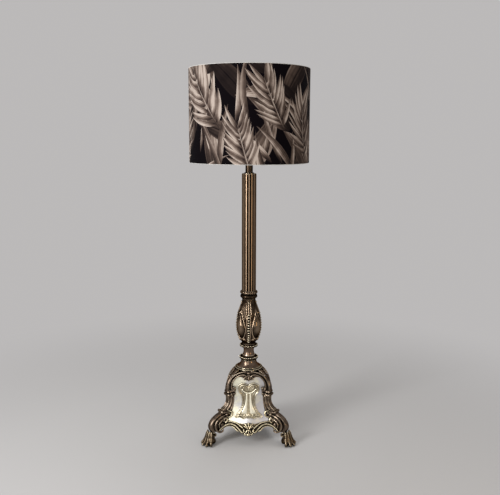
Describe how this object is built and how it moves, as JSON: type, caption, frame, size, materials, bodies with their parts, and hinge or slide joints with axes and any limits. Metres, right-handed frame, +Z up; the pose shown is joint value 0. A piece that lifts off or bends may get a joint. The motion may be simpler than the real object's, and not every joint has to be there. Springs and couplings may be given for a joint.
{
  "type": "candlestick table lamp",
  "caption": "Tall cast candlestick table lamp: tripod base on lion's paws with panels, baluster, fluted column and a drum shade.",
  "frame": {"origin": "middle of the three feet, on the surface they stand on", "axes": "+Z up along the lamp's axis; -Y is the front, which one of the three base panels faces; one leg points along +Y"},
  "size_m": [0.294, 0.294, 0.939],
  "materials": {
    "antique_brass": "cast, dark antique patina with rubbed highlights",
    "gilt_brass": "cast, lighter rubbed brass",
    "silvered_panel": "bright silvered, finely stippled",
    "steel": "plain zinc plated",
    "cast_iron": "as cast, dark",
    "black_plastic": "moulded, matt",
    "lamp_brass": "bright turned brass",
    "ceramic": "unglazed",
    "printed_fabric": "woven, printed with foliage in taupe and near black",
    "white_lining": "white styrene, matt",
    "white_wire": "white powder coat",
    "frosted_glass": "frosted",
    "nickel": "bright nickel",
    "black_glass": "glossy black glass"
  },
  "bodies": {
    "stand": {"leg_1": "antique_brass", "leg_2": "antique_brass", "leg_3": "antique_brass", "paw_1": "antique_brass", "paw_2": "antique_brass", "paw_3": "antique_brass", "panel_1": "silvered_panel", "panel_2": "silvered_panel", "panel_3": "silvered_panel", "arch_1": "antique_brass", "arch_2": "antique_brass", "arch_3": "antique_brass", "apron_1": "gilt_brass", "apron_2": "gilt_brass", "apron_3": "gilt_brass", "shield_1": "gilt_brass", "shield_2": "gilt_brass", "shield_3": "gilt_brass", "paw_bolts": "steel", "leg_bolts": "steel", "base_hub": "cast_iron", "clamp_plate": "steel", "rod_washer": "steel", "rod_nut": "steel", "threaded_rod": "steel", "cord_bush": "black_plastic", "base_neck": "antique_brass", "lower_dish": "antique_brass", "waist": "antique_brass", "upper_dish": "antique_brass", "baluster": "antique_brass", "lower_collar": "antique_brass", "upper_collar": "antique_brass", "column": "antique_brass", "column_cap": "antique_brass", "neck_tube": "antique_brass", "centring_discs": "steel", "holder_cap": "lamp_brass", "holder_sleeve": "lamp_brass", "holder_core": "ceramic", "screw_shell": "lamp_brass", "centre_contact": "lamp_brass", "lower_shade_ring": "lamp_brass"},
    "shade": {"shade_fabric": "printed_fabric", "shade_lining": "white_lining", "top_ring": "white_wire", "shade_carrier": "white_wire"},
    "shade_ring": {"upper_shade_ring": "lamp_brass"},
    "bulb": {"bulb_glass": "frosted_glass", "bulb_cap": "nickel", "bulb_insulator": "black_glass", "bulb_tip": "nickel"}
  },
  "joints": [
    {"name": "shade_turn", "type": "hinge", "parent": "stand", "child": "shade", "pos_m": [0, 0, 0.749], "axis": [0, 0, 1], "continuous": true},
    {"name": "shade_ring_turn", "type": "hinge", "parent": "stand", "child": "shade_ring", "pos_m": [0, 0, 0.7537], "axis": [0, 0, 1], "range_deg": [0, 1080]},
    {"name": "bulb_turn", "type": "hinge", "parent": "stand", "child": "bulb", "pos_m": [0, 0, 0.77], "axis": [0, 0, 1], "range_deg": [0, 900]}
  ]
}
